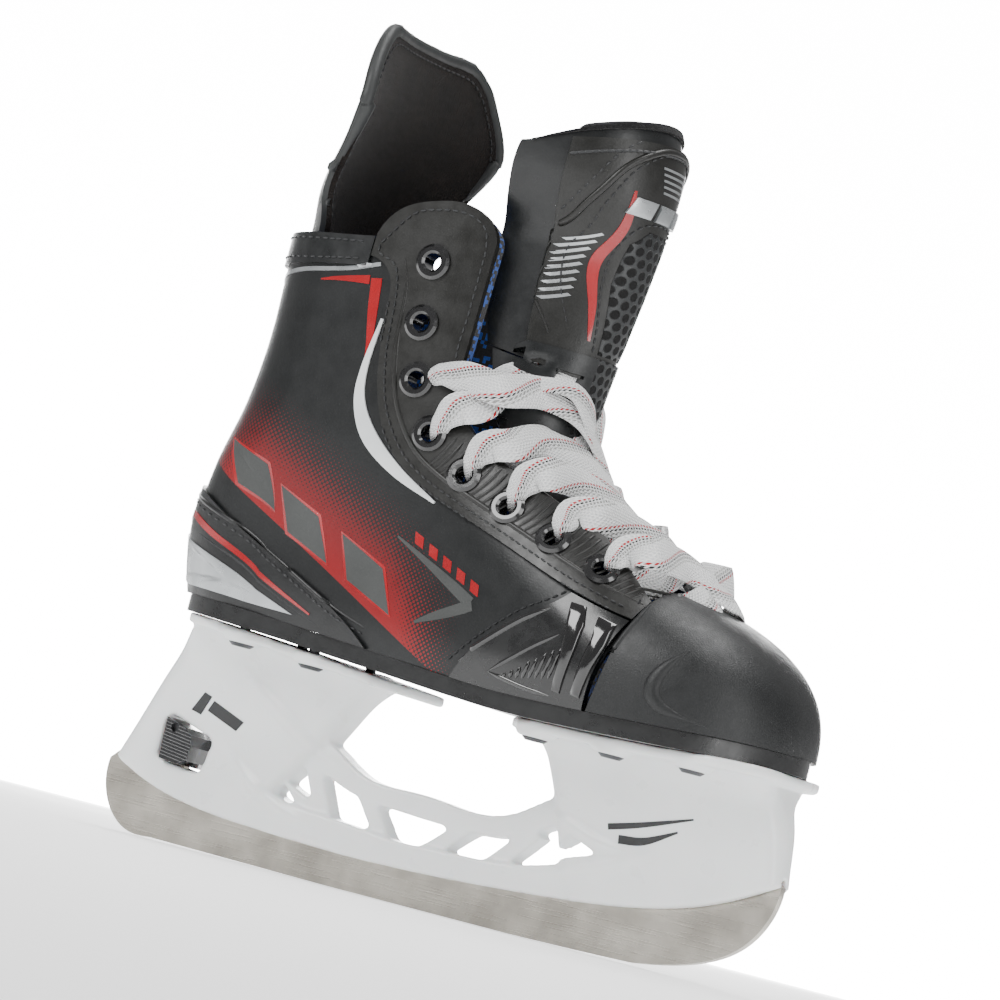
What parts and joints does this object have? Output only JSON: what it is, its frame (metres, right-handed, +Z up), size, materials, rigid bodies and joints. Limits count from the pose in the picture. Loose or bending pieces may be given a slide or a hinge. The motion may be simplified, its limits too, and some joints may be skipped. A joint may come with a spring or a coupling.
{
  "type": "ice hockey skate",
  "caption": "Junior ice hockey skate for the right foot: laced boot with tongue and tendon guard, nylon blade holder and a removable steel runner.",
  "frame": {"origin": "on the ice under the middle of the skate, at the lowest line of the runner", "axes": "+X towards the toe, +Y towards the inner side of the foot, +Z up"},
  "size_m": [0.2208, 0.086, 0.2444],
  "materials": {
    "sole_black": "moulded composite, satin",
    "board_grey": "pressed fibre board",
    "foam_grey": "foam under cloth",
    "quarter_skin": "satin coated thermoformed composite",
    "liner_cloth": "printed brushed cloth",
    "facing_skin": "satin synthetic leather",
    "counter_skin": "satin synthetic leather",
    "patent_black": "patent gloss",
    "toe_plastic": "fine grained moulding",
    "eyelet_black": "gloss black enamel",
    "tongue_skin": "moulded synthetic leather",
    "felt_black": "pressed felt",
    "felt_brown": "brushed felt",
    "guard_plastic": "flexible moulding",
    "lace_white": "woven polyester",
    "holder_white": "moulded nylon",
    "rivet_steel": "dark steel",
    "runner_steel": "ground and polished steel",
    "trigger_black": "glossy moulding"
  },
  "bodies": {
    "boot": {"outsole": "sole_black", "insole_board": "board_grey", "footbed": "foam_grey", "quarter_lateral": "quarter_skin", "quarter_medial": "quarter_skin", "liner_lateral": "liner_cloth", "liner_medial": "liner_cloth", "facing_lateral": "facing_skin", "facing_medial": "facing_skin", "collar_band": "facing_skin", "heel_counter": "counter_skin", "side_wrap_lateral": "patent_black", "side_wrap_medial": "patent_black", "toe_cap": "toe_plastic", "eyelets_lateral": "eyelet_black", "eyelets_medial": "eyelet_black", "tongue_lower": "tongue_skin", "lace": "lace_white", "blade_holder": "holder_white", "heel_rivets": "rivet_steel", "toe_rivets": "rivet_steel", "trigger_pin": "rivet_steel"},
    "runner": {"runner": "runner_steel"},
    "trigger": {"blade_trigger": "trigger_black"},
    "tongue": {"tongue_foam": "foam_grey", "tongue_shield": "tongue_skin", "tongue_lining": "felt_black", "tongue_binding": "felt_black"},
    "guard": {"tendon_guard_shell": "guard_plastic", "tendon_guard_felt": "felt_brown"}
  },
  "joints": [
    {"name": "runner_release", "type": "hinge", "parent": "boot", "child": "runner", "pos_m": [0.09, 0, 0.03], "axis": [0, -1, 0], "range_deg": [0, 4]},
    {"name": "trigger_pull", "type": "hinge", "parent": "boot", "child": "trigger", "pos_m": [-0.0872, 0, 0.0334], "axis": [0, -1, 0], "range_deg": [0, 16], "stiffness_Nm_per_rad": 0.05, "springref_deg": -34.38},
    {"name": "tongue_flex", "type": "hinge", "parent": "boot", "child": "tongue", "pos_m": [0.0165, 0, 0.157], "axis": [0, 1, 0], "range_deg": [0, 18], "stiffness_Nm_per_rad": 0.6},
    {"name": "guard_flex", "type": "hinge", "parent": "boot", "child": "guard", "pos_m": [-0.0866, 0, 0.1822], "axis": [0, -1, 0], "range_deg": [0, 20], "stiffness_Nm_per_rad": 0.6}
  ],
  "couplings": [
    {"joint": "trigger_pull", "follows": "runner_release", "ratio": 4}
  ]
}
